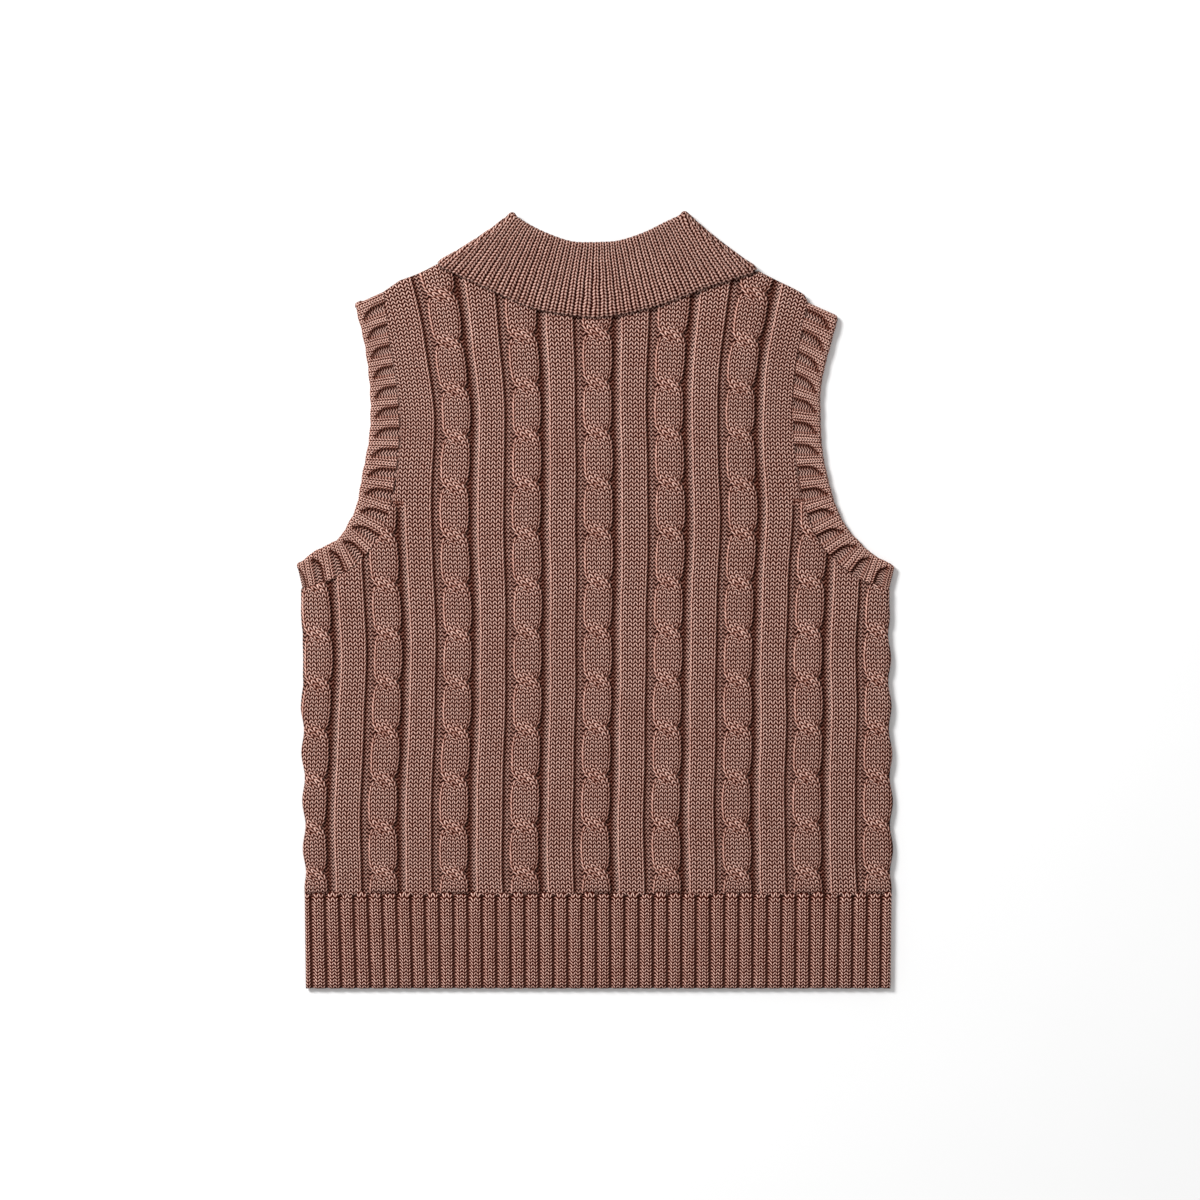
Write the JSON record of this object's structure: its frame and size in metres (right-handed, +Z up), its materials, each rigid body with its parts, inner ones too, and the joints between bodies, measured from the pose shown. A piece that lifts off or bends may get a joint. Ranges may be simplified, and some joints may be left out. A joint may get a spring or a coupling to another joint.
{
  "type": "sleeveless knit polo shirt",
  "caption": "Sleeveless cable-knit polo shirt laid flat with its back up, with a folded ribbed collar, ribbed armhole bands and a deep ribbed hem.",
  "frame": {"origin": "under the middle of the garment, on the surface that it rests on", "axes": "+Z up out of the garment's back, which faces up; +Y from the hem to the collar; -X towards the wearer's left"},
  "size_m": [0.4579, 0.594, 0.0125],
  "materials": {
    "back_knit": "matt cotton yarn, knitted",
    "front_knit": "matt cotton yarn, knitted",
    "back_hem_knit": "matt cotton yarn, knitted",
    "front_hem_knit": "matt cotton yarn, knitted",
    "band_knit_left": "matt cotton yarn, knitted",
    "band_knit_right": "matt cotton yarn, knitted",
    "collar_knit": "matt cotton yarn, knitted"
  },
  "bodies": {
    "root": {"back_panel": "back_knit", "front_panel": "front_knit", "back_hem_rib": "back_hem_knit", "front_hem_rib": "front_hem_knit", "armhole_band_left": "band_knit_left", "armhole_band_right": "band_knit_right", "collar": "collar_knit"}
  },
  "joints": []
}
